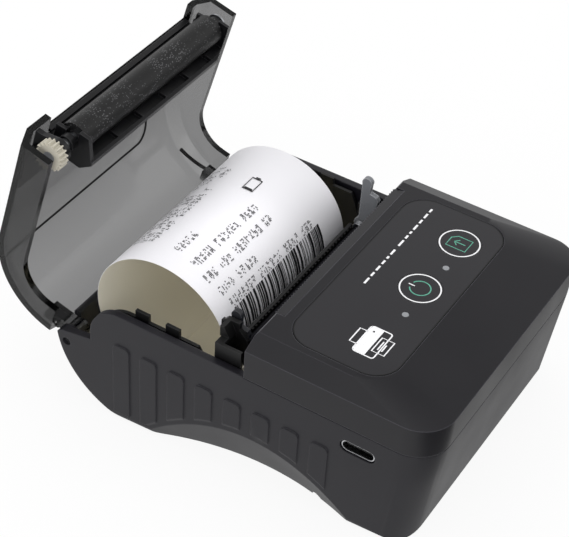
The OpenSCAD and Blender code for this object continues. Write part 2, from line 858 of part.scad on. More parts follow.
module motor_pinion() {
  color("#c8a24a") in_case() {
    gear(gear_x0 + 2.3, gear_x0 + 4.1, pinion_y, pinion_z, pinion_teeth, 0.5,
         350 + 180 / pinion_teeth);
    rod(gear_x0 + 2.3, frame_x1 + 3.8, pinion_y, pinion_z, motor_shaft_r);
  }
}

module axle_clips() {
  color("silver") in_case()
    for (c = [[drive_y, drive_z], [idler_y, idler_z]])
      difference() {
        rod(gear_x0 - 0.3 - 0.4, gear_x0 - 0.1, c[0], c[1], 1.7);
        rod(gear_x0 - 1, gear_x0, c[0], c[1], axle_r);
      }
}

module main_board() {
  color("#1f5a3a") in_case() difference() {
    block([-board_x, board_x - 1.6], [board_y0, board_y1], [board_top - board_t, board_top]);
    for (p = board_posts) peg(p[0], p[1], board_top - 3, board_top + 1, screw_r + 0.1);
  }
}

module board_parts() {
  color("#2a2a2c") in_case() {
    block([-20, -10], [board_y0 + 2.8, board_y1 - 2.6], [board_top, board_top + 1.2]);
    block([8, 24], [board_y0 + 1.8, board_y1 - 1.6], [board_top, board_top + 2.2]);
    block([-6, 2], [board_y1 - 6.6, board_y1 - 1.6], [board_top, board_top + 1.5]);
    for (x = [-5, -1.5, 2]) peg(x, board_y0 + 4.3, board_top, board_top + 3, 1.5);
  }
}

module board_screws() {
  color("silver") in_case()
    for (p = board_posts) {
      peg(p[0], p[1], board_top, board_top + 1.2, head_r);
      peg(p[0], p[1], board_top - 7, board_top + 0.1, screw_r - 0.12);
    }
}

module panel_board() {
  color("#1f5a3a") in_case() difference() {
    block(panel_x, panel_y, [panel_z, panel_top]);
    for (p = panel_posts) peg(p[0], p[1], panel_z - 1, panel_top + 1, screw_r + 0.1);
  }
}

module panel_screws() {
  color("silver") in_case()
    for (p = panel_posts) {
      peg(p[0], p[1], panel_z - 1.2, panel_z, head_r);
      peg(p[0], p[1], panel_z - 0.1, panel_top + 2.6, screw_r - 0.12);
    }
}

module key_switches() {
  color("#b9bbbd") in_case() {
    for (x = [power_x, feed_x]) {
      block([x - 2.6, x + 2.6], [keys_y - 2.6, keys_y + 2.6], [panel_top, panel_top + 1]);
      peg(x, keys_y, panel_top + 0.9, panel_top + 1.4, 1.2);
    }
    light_pegs(0.8, panel_top, panel_top + 1);
  }
}

// Key with a flange under the panel and a stem above its switch.
module key_cap(x) {
  peg(x, keys_y, skin_z - 0.6, top_z, key_r);
  peg(x, keys_y, skin_z - 0.8, skin_z - 0.05, key_r + 0.7);
  peg(x, keys_y, panel_top + 1.4 + key_travel + 0.1, skin_z, 1.5);
}

module power_key() {
  color("#38373c") in_case() key_cap(power_x);
}

module feed_key() {
  color("#38373c") in_case() key_cap(feed_x);
}

module usb_socket() {
  color("#b4b6ba") in_case() slab(-side_x + 0.4, usb_len - side_x + 0.4)
    translate([usb_y, usb_z]) difference() {
      stadium(usb_w, usb_h);
      stadium(usb_w - 0.6, usb_h - 0.6);
    }
}

module usb_tongue() {
  color("#18181a") in_case() {
    slab(usb_len - side_x - 0.8, usb_len - side_x + 0.4)
      translate([usb_y, usb_z]) stadium(usb_w - 0.6, usb_h - 0.6);
    slab(1.4 - side_x, usb_len - side_x)
      translate([usb_y - 3.35, usb_z - 0.35]) square([6.7, 0.7]);
  }
}

module battery() {
  color("#3b6ea5") in_case() on_base()
    block([battery_x - battery_w / 2, battery_x + battery_w / 2],
          [battery_y - battery_len, battery_y], [battery_z, battery_z + battery_h]);
}

module battery_door() {
  x = battery_w / 2 + 1;
  color("#39383d") in_case() on_base() difference() {
    block([battery_x - x, battery_x + x], [door_y - door_len, door_y], [0, wall]);
    peg(battery_x - 1, door_y - 1.6, -1, wall + 1, screw_r + 0.1);
    peg(battery_x - 1, door_y - 1.6, -1, 1.2, head_r + 0.05);
  }
}

module door_screw() {
  color("silver") in_case() on_base() {
    peg(battery_x - 1, door_y - 1.6, 0.3, 1.2, head_r);
    peg(battery_x - 1, door_y - 1.6, 1.1, wall + 4.5, 0.88);
  }
}

module case_screws() {
  color("silver") in_case()
    for (c = columns) {
      peg(c[0], c[1], -10.2, -9, head_r);
      peg(c[0], c[1], -9.1, 5.5, screw_r);
    }
}

module hinge_pins() {
  color("silver") in_case()
    for (s = [0, 1]) mirror([s, 0, 0])
      rod(-side_x + 1, barrel_w - lug_in + 0.2, hinge_y, hinge_z, pin_r);
}

// Outside or inside of the closed lid, drawn in by d.
module lid_skin(d, y0) {
  along_y(y0, lid_y) top_section(d);
  r_top = top_z - lid_z - d;
  r_edge = ridge_z - d * tan((90 - bevel_angle) / 2) - lid_z;
  x = side_x - d;
  flat = top_x - d * tan(bevel_angle / 2);
  intersection() {
    translate([0, lid_y, lid_z]) rotate([0, 90, 0]) rotate_extrude()
      polygon([[0, -x], [r_edge, -x], [r_top, -flat], [r_top, flat], [r_edge, x], [0, x]]);
    block([-side_x, side_x], [lid_y - 0.01, big], [-big, big]);
  }
}

// What the fixed case fills below the closed lid.
module under_lid() {
  gap = lid_gap / 2;
  slab(-side_x - 1, side_x + 1) {
    translate([-big, -big]) square([big + shoulder_y, big + gap]);
    translate([shoulder_y, -shoulder_r]) circle(shoulder_r + gap);
    translate([-big, -big]) square([big + rear_y + gap, big - shoulder_r]);
  }
  for (s = [0, 1]) mirror([s, 0, 0])
    block([lug_in - 0.3, side_x + 1], [rear_y - 3, big], [-big, step_z + 0.4]);
  block([-lug_in, lug_in], [rear_y - 3, big], [-big, step_z - 0.2]);
}

module lid_cover() {
  color("#4a494e") on_lid() difference() {
    union() {
      difference() {
        lid_skin(0, lid_gap);
        lid_skin(lid_wall, -1);
        under_lid();
        block([roller_x0 - 1, roller_x1 + 1], [-1, lid_gap + exit_depth], [5, big]);
      }
      for (s = [0, 1]) mirror([s, 0, 0])
        slab(0.2 - lug_in, 0.2 - lug_in + barrel_w) {
          translate([hinge_y, hinge_z]) circle(barrel_r);
          intersection() {
            translate([hinge_y - 2.4, hinge_z]) square([6, 9]);
            translate([lid_y, lid_z]) circle(ridge_z - lid_z + 0.8);
          }
        }
    }
    rod(-side_x, side_x, hinge_y, hinge_z, pin_r + run_gap);
  }
}

// End plate that hangs from the carrier's top plate and holds the roller's shaft.
module end_plate() {
  translate([platen_y, platen_z]) circle(shaft_r + 1.7);
  polygon([[platen_y - 3.1, platen_z + 0.6], [platen_y - 1.8, carrier_z + 0.1],
           [platen_y + 6.4, carrier_z + 0.1], [platen_y + 2.8, platen_z - 1.4]]);
}

// Inner end wall beside the roller, with a slot that the shaft is slid into from the front.
module jaw() {
  difference() {
    polygon([[shelf_y + shelf_t, shelf_z + shelf_t], [shelf_y, shelf_z], [-1.4, -2.2], [-1.4, 0.9],
             [0.2, platen_z + 1], [0.6, carrier_z + 0.1], [shelf_y + shelf_t, carrier_z + 0.1]]);
    translate([platen_y, platen_z]) circle(shaft_r + 0.3);
    translate([platen_y - 5, platen_z - shaft_r - 0.3]) square([5, 2 * shaft_r + 0.6]);
  }
}

// Ribs behind the roller, steep on one side, with a rim along their lower ends.
module shelf_ribs() {
  for (i = [-2 : 2])
    translate([paper_x + 2.2 + i * rib_pitch, shelf_y + 0.1, shelf_z]) linear_extrude(shelf_y - shelf_z)
      polygon([[0, 0], [0, -rib_d], [rib_pitch - 2.4, 0]]);
  block([jaw_x0, jaw_x1], [shelf_y - rib_d, shelf_y + 0.1], [shelf_z, shelf_z + 1]);
}

module roller_carrier() {
  color("#1c1c1e") on_lid() difference() {
    union() {
      intersection() {
        union() {
          block([2.5 - side_x, side_x - 2.5], [shelf_y - 0.4, 16], [carrier_z, lid_in]);
          slab(gear_x1 + 0.4, frame_x0 - 0.3) translate([platen_y - 1.8, 7]) square([6, lid_in - 7]);
        }
        along_y(0, 20) top_section(lid_wall);
      }
      block([roller_x0 - 0.4, roller_x1 + 0.4], [lid_gap + exit_depth - 0.7, lid_gap + exit_depth - 0.03],
            [lid_in - 0.5, top_z - 0.9]);
      block([roller_x0 - 0.4, roller_x1 + 0.4], [lid_gap + exit_depth - 0.7, shelf_y], [lid_in - 0.5, lid_in]);
      difference() {
        union() {
          slab(jaw_x0, jaw_x1)
            polygon([[shelf_y, shelf_z], [shelf_y + shelf_t, shelf_z + shelf_t],
                     [shelf_y + shelf_t, carrier_z + 0.1], [shelf_y, carrier_z + 0.1]]);
          shelf_ribs();
        }
        rod(roller_x0 - 0.3, roller_x1 + 0.3, platen_y, platen_z, roller_r + 0.5);
      }
      slab(jaw_x0, roller_x0 - 0.3) jaw();
      slab(roller_x1 + 0.3, jaw_x1) jaw();
      slab(gear_x1 + 0.4, frame_x0 - 0.3) end_plate();
    }
    rod(-side_x, side_x, platen_y, platen_z, shaft_r + run_gap);
    along_y(-3, 20)
      polygon([[jaw_x1 - shelf_cut[0], shelf_z], [jaw_x1 - shelf_cut[0], shelf_z - 1], [jaw_x1 + 1, shelf_z - 1],
               [jaw_x1 + 1, shelf_z + shelf_cut[1]], [jaw_x1, shelf_z + shelf_cut[1]]]);
    for (x = [latch_x0, latch_x1])
      block([x - 0.3, x + latch_w + 0.3], [shelf_y - 1, latch_y + 3.4], [carrier_z - 1, lid_in]);
    for (x = carrier_screws_x) peg(x, carrier_screw_y, carrier_z - 0.3, lid_in + 1, screw_r + 0.1);
  }
}

module carrier_screws() {
  color("silver") on_lid()
    for (x = carrier_screws_x) {
      peg(x, carrier_screw_y, carrier_z - 1.2, carrier_z, head_r);
      peg(x, carrier_screw_y, carrier_z - 0.1, lid_in, screw_r);
    }
}

module platen_bushes() {
  color("#2b2b2d") on_lid()
    for (x = [bush_x0, bush_x1 - bush_w])
      difference() {
        rod(x, x + bush_w, platen_y, platen_z, bush_r);
        rod(x - 1, x + bush_w + 1, platen_y, platen_z, shaft_r + run_gap);
      }
}

module platen_shaft() {
  color("silver") on_lid() rod(gear_x0 - 0.2, bush_x1 + 1.4, platen_y, platen_z, shaft_r);
}

module platen_roller() {
  color("#232325") on_lid() difference() {
    rod(roller_x0, roller_x1, platen_y, platen_z, roller_r);
    rod(roller_x0 - 1, roller_x1 + 1, platen_y, platen_z, shaft_r);
  }
}

module platen_gear() {
  color("#efefec") on_lid()
    gear(gear_x0, gear_x1, platen_y, platen_z, platen_teeth, shaft_r, 4);
}

module shaft_clip() {
  color("silver") on_lid() difference() {
    rod(bush_x1 + 0.1, bush_x1 + 0.6, platen_y, platen_z, 2.6);
    rod(bush_x1, bush_x1 + 1, platen_y, platen_z, shaft_r);
  }
}

bottom_case();
top_case();
panel_sheet();
status_lights();
tear_bar();
paper_tray();
print_frame();
head_heatsink();
head_ceramic();
head_springs();
feed_motor();
motor_screws();
latch_rod();
latch_springs();
axle_clips();
frame_screws();
main_board();
board_parts();
board_screws();
panel_board();
key_switches();
panel_screws();
usb_socket();
usb_tongue();
battery();
battery_door();
door_screw();
case_screws();
hinge_pins();
paper_coil();
lid_cover();
roller_carrier();
carrier_screws();
platen_bushes();
platen_shaft();
platen_roller();
platen_gear();
shaft_clip();
power_key();
feed_key();
left_latch();
right_latch();
motor_pinion();
idler_gear();
drive_gear();
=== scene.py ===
import json
import math

import bmesh
import bpy
import numpy as np
from mathutils import Matrix, Vector

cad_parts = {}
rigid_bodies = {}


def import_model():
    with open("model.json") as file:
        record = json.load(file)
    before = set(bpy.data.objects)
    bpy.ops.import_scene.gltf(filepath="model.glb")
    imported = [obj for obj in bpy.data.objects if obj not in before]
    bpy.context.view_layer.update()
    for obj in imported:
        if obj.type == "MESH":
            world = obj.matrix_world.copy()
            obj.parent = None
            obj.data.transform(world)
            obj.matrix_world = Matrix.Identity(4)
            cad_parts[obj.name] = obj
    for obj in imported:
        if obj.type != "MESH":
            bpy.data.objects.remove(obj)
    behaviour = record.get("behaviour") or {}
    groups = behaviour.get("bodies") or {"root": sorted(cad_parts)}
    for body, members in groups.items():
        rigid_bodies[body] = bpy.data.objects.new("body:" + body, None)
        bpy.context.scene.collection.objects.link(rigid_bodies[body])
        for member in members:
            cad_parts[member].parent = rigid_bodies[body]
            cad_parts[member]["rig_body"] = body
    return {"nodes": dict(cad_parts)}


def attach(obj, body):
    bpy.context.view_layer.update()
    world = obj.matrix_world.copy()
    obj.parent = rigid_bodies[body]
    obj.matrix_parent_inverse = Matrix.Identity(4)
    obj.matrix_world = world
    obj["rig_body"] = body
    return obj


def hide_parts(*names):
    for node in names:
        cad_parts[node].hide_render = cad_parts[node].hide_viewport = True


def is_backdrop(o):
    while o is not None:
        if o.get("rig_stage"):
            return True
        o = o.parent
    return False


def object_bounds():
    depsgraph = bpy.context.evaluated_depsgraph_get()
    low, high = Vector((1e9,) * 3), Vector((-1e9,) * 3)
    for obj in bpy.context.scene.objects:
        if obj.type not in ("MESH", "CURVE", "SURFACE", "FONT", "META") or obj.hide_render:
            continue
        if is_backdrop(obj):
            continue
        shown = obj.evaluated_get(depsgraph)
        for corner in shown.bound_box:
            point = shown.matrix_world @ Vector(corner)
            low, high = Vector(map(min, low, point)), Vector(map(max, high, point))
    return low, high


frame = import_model()
cad_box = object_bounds()
nodes = frame["nodes"]

# ---------------------------------------------------------------- camera
# A long lens looks down at the left front corner, as someone at a counter would.
# Its place is given in the plane of the joint between the case halves, which slopes forward.
TILT = math.radians(3.5)
JOINT = Matrix.Translation((0, -0.0034, 0.034136)) @ Matrix.Rotation(TILT, 4, "X")
azimuth, elevation, roll = (math.radians(a) for a in (-60.43, 41.26, 3.84))
back = Vector((math.sin(azimuth) * math.cos(elevation),
               -math.cos(azimuth) * math.cos(elevation), math.sin(elevation)))
level = Vector((math.cos(azimuth), math.sin(azimuth), 0))
across = math.cos(roll) * level + math.sin(roll) * back.cross(level)
upward = back.cross(across)
turn = Matrix((across, upward, back)).transposed().to_4x4()
camera_data = bpy.data.cameras.new("camera")
camera_data.sensor_width = 36
camera_data.lens = 108.93
camera_data.clip_start = 0.01


def linked(name, data):
    made = bpy.data.objects.new(name, data)
    bpy.context.scene.collection.objects.link(made)
    return made


camera = linked("camera", camera_data)
camera.matrix_world = JOINT @ Matrix.Translation((-0.28723, -0.14946, 0.28852)) @ turn
bpy.context.scene.camera = camera
bpy.context.scene.view_settings.view_transform = "Standard"


# ---------------------------------------------------------------- table and light
# A white table in a white room lights the printer softly from all round. A broad lamp hangs
# over it and a weak one stands low on the left. The room's mirror image is darker where its
# walls meet its ceiling, and the lamps leave no image of their own in the glossy faces.
def srgb(code):
    parts = [int(code[i:i + 2], 16) / 255 for i in (1, 3, 5)]
    return tuple(p / 12.92 if p <= 0.04045 else ((p + 0.055) / 1.055) ** 2.4 for p in parts) + (1.0,)


def node(tree, kind, settings=None, links=None):
    """A new node: settings go to its own values or its inputs, links to its inputs."""
    made = tree.nodes.new(kind)
    for key, value in (settings or {}).items():
        if isinstance(key, int):
            made.inputs[key].default_value = value
        elif hasattr(made, key):
            setattr(made, key, value)
        else:
            made.inputs[key].default_value = value
    for key, source in (links or {}).items():
        tree.links.new(source, made.inputs[key])
    return made


def new_finish(name):
    made = bpy.data.materials.new(name)
    made.use_nodes = True
    made.node_tree.nodes.clear()
    return made, made.node_tree


world = bpy.data.worlds.new("white_room")
bpy.context.scene.world = world
world.use_nodes = True
tree = world.node_tree
tree.nodes.clear()
path = node(tree, "ShaderNodeLightPath")
where = node(tree, "ShaderNodeTexCoord")
height = node(tree, "ShaderNodeSeparateXYZ", links={0: where.outputs["Generated"]})
walls = node(tree, "ShaderNodeValToRGB", links={0: height.outputs["Z"]})
shades = [(0.0, 0.95), (0.55, 0.9), (0.66, 0.45), (0.75, 0.2), (0.85, 0.42), (0.94, 0.85)]
while len(walls.color_ramp.elements) < len(shades):
    walls.color_ramp.elements.new(1.0)
for stop, (position, shade) in zip(walls.color_ramp.elements, shades):
    stop.position = position
    stop.color = (shade, shade, shade, 1)
mirrored = node(tree, "ShaderNodeMix", {2: 1.0}, {0: path.outputs["Is Glossy Ray"], 3: walls.outputs[0]})
direct = node(tree, "ShaderNodeMath", {"operation": "MAXIMUM"},
              {0: path.outputs["Is Camera Ray"], 1: path.outputs["Is Transmission Ray"]})
strength = node(tree, "ShaderNodeMix", {3: 1.0}, {0: direct.outputs[0], 2: mirrored.outputs[0]})
sky = node(tree, "ShaderNodeBackground", {"Color": (1, 1, 1, 1)}, {"Strength": strength.outputs[0]})
node(tree, "ShaderNodeOutputWorld", links={"Surface": sky.outputs[0]})

# Each lamp's name, place and size in metres, and power in watts.
lamps = [("softbox", (0.2, 0.12, 0.95), (0.9, 0.6), 2.3),
         ("low_fill", (-0.85, -0.2, 0.36), (0.5, 0.4), 2.0)]
for name, place, size, power in lamps:
    lamp_data = bpy.data.lights.new(name, "AREA")
    lamp_data.shape = "RECTANGLE"
    lamp_data.size, lamp_data.size_y = size
    lamp_data.energy = power
    lamp = linked(name, lamp_data)
    lamp.location = place
    lamp.rotation_euler = Vector(place).to_track_quat("Z", "Y").to_euler()
    lamp.visible_glossy = False

# White melamine on the table. Seen directly it is as white as the room, other pieces cast their
# shadows on it, and the glossy faces reflect it with a painted shade that darkens it in front of the
# printer.
table_white, tree = new_finish("table_white")
path = node(tree, "ShaderNodeLightPath")
direct = node(tree, "ShaderNodeMath", {"operation": "MAXIMUM"},
              {0: path.outputs["Is Camera Ray"], 1: path.outputs["Is Transmission Ray"]})
direct = node(tree, "ShaderNodeMath", {"operation": "MULTIPLY", 1: 0.9}, {0: direct.outputs[0]})
# Painted shade for reflections: the table's glow falls from 0.64 at lit_y to 0.1 at dark_y, in place of the
# printer's shadow.
dark_y, lit_y = -0.074, -0.062
spot = node(tree, "ShaderNodeNewGeometry")
spot = node(tree, "ShaderNodeSeparateXYZ", links={0: spot.outputs["Position"]})
painted_shade = node(tree, "ShaderNodeMapRange",
           {"From Min": dark_y, "From Max": lit_y, "To Min": 0.1, "To Max": 0.64},
           {"Value": spot.outputs["Y"]})
bounced = node(tree, "ShaderNodeMath", {"operation": "GREATER_THAN"},
               {0: path.outputs["Is Glossy Ray"], 1: path.outputs["Is Transmission Ray"]})
level = node(tree, "ShaderNodeMix", {2: 1.0}, {0: bounced.outputs[0], 3: painted_shade.outputs[0]})
share = node(tree, "ShaderNodeMath", {"operation": "MAXIMUM"},
             {0: direct.outputs[0], 1: bounced.outputs[0]})
matt = node(tree, "ShaderNodeBsdfDiffuse", {"Color": srgb("#e9e9e9")})
glow = node(tree, "ShaderNodeEmission", {"Color": (1, 1, 1, 1)}, {"Strength": level.outputs[0]})
both = node(tree, "ShaderNodeMixShader",
            links={0: share.outputs[0], 1: matt.outputs[0], 2: glow.outputs[0]})
node(tree, "ShaderNodeOutputMaterial", links={"Surface": both.outputs[0]})
mesh = bpy.data.meshes.new("table")
mesh.from_pydata([(-4, -4, 0), (4, -4, 0), (4, 4, 0), (-4, 4, 0)], [], [(0, 1, 2, 3)])
mesh.materials.append(table_white)
table = linked("table", mesh)
table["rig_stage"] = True


# ---------------------------------------------------------------- lower case
# Both halves of the case and the battery door are moulded in black ABS with a fine
# spark-eroded grain: a soft satin, with a painted highlight a little lighter along its outer edges.
def moulded(name, code, rough, grain_mm, depth_mm, edge_highlight=None, radius_mm=0.25, ior=1.5):
    """A moulded plastic with its grain's width and depth, and the colour of the painted highlight on its
    edges.
    """
    made, tree = new_finish(name)
    place = node(tree, "ShaderNodeTexCoord")
    grain = node(tree, "ShaderNodeTexNoise", {"Scale": 1000 / grain_mm, "Detail": 3.0, "Roughness": 0.6},
                 {"Vector": place.outputs["Object"]})
    cloud = node(tree, "ShaderNodeTexNoise", {"Scale": 60.0, "Detail": 3.0},
                 {"Vector": place.outputs["Object"]})
    gloss = node(tree, "ShaderNodeMapRange",
                 {"From Min": 0.3, "From Max": 0.7, "To Min": rough - 0.03, "To Max": rough + 0.03},
                 {"Value": cloud.outputs["Fac"]})
    edge = node(tree, "ShaderNodeBevel", {"samples": 4, "Radius": radius_mm / 1000})
    bump = node(tree, "ShaderNodeBump", {"Strength": 0.5, "Distance": depth_mm / 1000},
                {"Height": grain.outputs["Fac"], "Normal": edge.outputs[0]})
    flat = node(tree, "ShaderNodeNewGeometry")
    turned = node(tree, "ShaderNodeVectorMath", {"operation": "DOT_PRODUCT"},
                  {0: edge.outputs[0], 1: flat.outputs["Normal"]})
    # Painted highlight: the edge colour takes over where the rounded normal turns away from the flat face.
    edge_highlight_share = node(tree, "ShaderNodeMapRange",
                {"From Min": 1.0, "From Max": 0.94, "To Min": 0.0, "To Max": 1.0},
                {"Value": turned.outputs["Value"]})
    tint = node(tree, "ShaderNodeMix", {"data_type": "RGBA", 6: srgb(code), 7: srgb(edge_highlight or code)},
                {0: edge_highlight_share.outputs[0]})
    shade = node(tree, "ShaderNodeBsdfPrincipled", {"IOR": ior},
                 {"Base Color": tint.outputs[2], "Roughness": gloss.outputs[0], "Normal": bump.outputs[0]})
    node(tree, "ShaderNodeOutputMaterial", links={"Surface": shade.outputs[0]})
    return made


def paint(finish, *names):
    for name in names:
        slots = nodes[name].data.materials
        slots.clear()
        slots.append(finish)


def smooth_skin(name, finish, angle):
    """A merged copy of a moulding, smooth over its round edges and crisp at its corners."""
    made = linked(name + "_skin", nodes[name].data.copy())
    for layer in [a.name for a in made.data.attributes if a.name == "custom_normal"]:
        made.data.attributes.remove(made.data.attributes[layer])
    shell = bmesh.new()
    shell.from_mesh(made.data)
    bmesh.ops.remove_doubles(shell, verts=shell.verts, dist=1e-6)
    for face in shell.faces:
        face.smooth = True
        face.material_index = 0
    for line in shell.edges:
        line.smooth = len(line.link_faces) == 2 and line.calc_face_angle(0) < math.radians(angle)
    shell.to_mesh(made.data)
    shell.free()
    weigh = made.modifiers.new("weigh", "WEIGHTED_NORMAL")
    weigh.keep_sharp = True
    evaluated = made.evaluated_get(bpy.context.evaluated_depsgraph_get())
    shaped = bpy.data.meshes.new_from_object(evaluated)
    made.modifiers.clear()
    made.data = shaped
    made.data.materials.clear()
    made.data.materials.append(finish)
    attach(made, nodes[name]["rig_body"])
    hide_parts(name)


abs_black = moulded("black_abs_spark_grain", "#15141a", 0.4, 0.35, 0.02, "#222127", 0.6)
smooth_skin("bottom_case", abs_black, 24)
paint(abs_black, "battery_door")

# ---------------------------------------------------------------- upper case
# The upper half is the same black ABS, from a mould with a finer grain that is polished a
# little more. A painted highlight turns its long outer edges a dark grey.
abs_top = moulded("black_abs_upper_grain", "#121116", 0.34, 0.3, 0.015, "#403f46", 0.3)
smooth_skin("top_case", abs_top, 20)

# ---------------------------------------------------------------- panel sheet
# A polyester film, printed black, is glued into a shallow recess of the top. A thin black line
# painted round it stands for the shade in the narrow gap at its edge. White screen ink draws the plain row
# of dashes and the sign.
film = moulded("printed_polyester_film", "#17161b", 0.36, 0.5, 0.006, ior=1.6)
paint(film, "panel_sheet")
top_z = 11.07
ink_z = top_z + 0.01
sheet_half, sheet_y0, sheet_y1, sheet_r = 32.6, -33.6, -5.4, 7.2


def on_case(x, y, z):
    """A point given in millimetres on the sloping plane between the case halves."""
    return JOINT @ Vector((x / 1000, y / 1000, z / 1000))


def arc(x, y, r, first, last, steps=48):
    angles = [math.radians(first + (last - first) * i / steps) for i in range(steps + 1)]
    return [(x + r * math.cos(a), y + r * math.sin(a)) for a in angles]


def printed(name, strokes, height, finish, body):
    """Flat ink lines on the top, each given by its points and width in millimetres."""
    verts, faces = [], []
    for points, width in strokes:
        closed = math.dist(points[0], points[-1]) < 1e-6
        start = len(verts)
        count = len(points)
        for i, (x, y) in enumerate(points):
            before = points[i - 1] if i else (points[-2] if closed else points[0])
            after = points[i + 1] if i < count - 1 else (points[1] if closed else points[-1])
            dx, dy = after[0] - before[0], after[1] - before[1]
            size = math.hypot(dx, dy)
            side = (-dy / size * width / 2, dx / size * width / 2)
            verts.append(on_case(x + side[0], y + side[1], height))
            verts.append(on_case(x - side[0], y - side[1], height))
        for i in range(count - 1):
            a = start + 2 * i
            faces.append((a, a + 1, a + 3, a + 2))
    made_mesh = bpy.data.meshes.new(name)
    made_mesh.from_pydata(verts, [], faces)
    made_mesh.materials.append(finish)
    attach(linked(name, made_mesh), body)


def ink(name, code):
    made, tree = new_finish(name)
    place = node(tree, "ShaderNodeTexCoord")
    mesh_dots = node(tree, "ShaderNodeTexNoise", {"Scale": 1800.0, "Detail": 2.0},
                     {"Vector": place.outputs["Object"]})
    thin = node(tree, "ShaderNodeMapRange",
                {"From Min": 0.3, "From Max": 0.7, "To Min": 0.86, "To Max": 1.0},
                {"Value": mesh_dots.outputs["Fac"]})
    tint = node(tree, "ShaderNodeHueSaturation", {"Color": srgb(code)}, {"Value": thin.outputs[0]})
    shade = node(tree, "ShaderNodeBsdfPrincipled", {"Roughness": 0.45}, {"Base Color": tint.outputs[0]})
    node(tree, "ShaderNodeOutputMaterial", links={"Surface": shade.outputs[0]})
    return made


white_ink = ink("white_screen_ink", "#f2f2f4")
black_print_ink_and_gap_shade = ink("black_print_and_gap_shade", "#050506")
# Painted shade: a black line 0.3 mm wide round the film's edge, for the shaded gap between film and recess.
corner = sheet_r - 0.12
gap_shade_line = []
for cx, cy, first in ((1, 1, 0), (-1, 1, 90), (-1, -1, 180), (1, -1, 270)):
    gap_shade_line += arc(cx * (sheet_half - sheet_r), sheet_y1 - sheet_r if cy > 0 else sheet_y0 + sheet_r,
                  corner, first, first + 90, 12)
gap_shade_line.append(gap_shade_line[0])
printed("sheet_gap_shade", [(gap_shade_line, 0.3)], top_z + 0.012, black_print_ink_and_gap_shade, "case")

# A plain row of dashes stands at the top, and the sign is a plain printer:
# a body, the paper that goes in at the top and the strip that comes out at the bottom.
dashes = []
x = -5.5
for length in (2.4, 1.6, 2.0, 1.6, 1.0, 2.2, 0, 2.6, 1.4, 1.0, 2.2, 1.6, 2.0, 1.4):
    if length:
        dashes.append(([(x, -12.1), (x + length, -12.1)], 0.55))
    x += length + 0.9
printed("title_dashes", dashes, ink_z, white_ink, "case")
sx, sy = -22.3, -24.0
body_line = [(sx - 4.9, sy + 1.9)]
body_line += arc(sx - 4.0, sy + 1.9, 0.9, 180, 90, 6)
body_line += arc(sx + 4.0, sy + 1.9, 0.9, 90, 0, 6)
body_line += arc(sx + 4.2, sy - 2.2, 0.7, 0, -90, 6)
body_line += arc(sx - 4.2, sy - 2.2, 0.7, -90, -180, 6)
body_line.append(body_line[0])
slip_line = [(sx - 2.6, sy - 1.3), (sx + 2.6, sy - 1.3), (sx + 2.6, sy - 4.6), (sx - 2.6, sy - 4.6),
             (sx - 2.6, sy - 1.3)]
feed_line = [(sx - 2.6, sy + 2.6), (sx - 2.6, sy + 4.7), (sx + 2.6, sy + 4.7), (sx + 2.6, sy + 2.6)]
sign = [(body_line, 0.35), ([(sx, sy - 0.6), (sx, sy + 2.6)], 9.4), (slip_line, 0.35), (feed_line, 0.35)]
sign += [([(sx - 1.6, sy - 2.3), (sx + 1.6, sy - 2.3)], 0.35),
         ([(sx - 1.6, sy - 3.4), (sx + 0.9, sy - 3.4)], 0.35)]
printed("printer_sign", sign, ink_z, white_ink, "case")
ready = [(sx + 3.0, sy + 1.4), (sx + 3.5, sy + 1.4)]
printed("printer_sign_light", [(ready, 0.5)], top_z + 0.02, black_print_ink_and_gap_shade, "case")

# ---------------------------------------------------------------- keys and lights
# Two round keys of the same printed film on moulded caps, each with a ring of white ink and a
# sign in green: standby, and a sheet fed upwards. Clear grey acrylic pegs carry the light.
key_y, feed_x = -24.2, 21.4
power_x = feed_x - 20.6
paint(film, "power_key", "feed_key")
green_ink = ink("green_screen_ink", "#58a48d")
for name, x in (("power", power_x), ("feed", feed_x)):
    printed(name + "_ring", [(arc(x, key_y, 5.1, 0, 360, 72), 0.36)], ink_z, white_ink, name + "_key")
printed("power_sign", [(arc(power_x, key_y, 2.6, 112, 428), 0.32)], ink_z, green_ink, "power_key")
stroke = [(power_x, key_y + 1.5), (power_x, key_y + 3.2)]
printed("power_stroke", [(stroke, 0.3)], top_z + 0.015, white_ink, "power_key")
leaf = [(feed_x - 2.3, key_y - 2.6), (feed_x + 2.3, key_y - 2.6), (feed_x + 2.3, key_y + 1.4),
        (feed_x + 1.0, key_y + 2.8), (feed_x - 2.3, key_y + 2.8), (feed_x - 2.3, key_y - 2.6)]
arrow = [([(feed_x, key_y - 1.6), (feed_x, key_y + 1.5)], 0.3),
         ([(feed_x - 1.1, key_y + 0.4), (feed_x, key_y + 1.5), (feed_x + 1.1, key_y + 0.4)], 0.3)]
printed("feed_sign", [(leaf, 0.3)] + arrow, ink_z, green_ink, "feed_key")
acrylic = moulded("frosted_grey_acrylic", "#8a8c90", 0.3, 1.0, 0.01)
paint(acrylic, "status_lights")

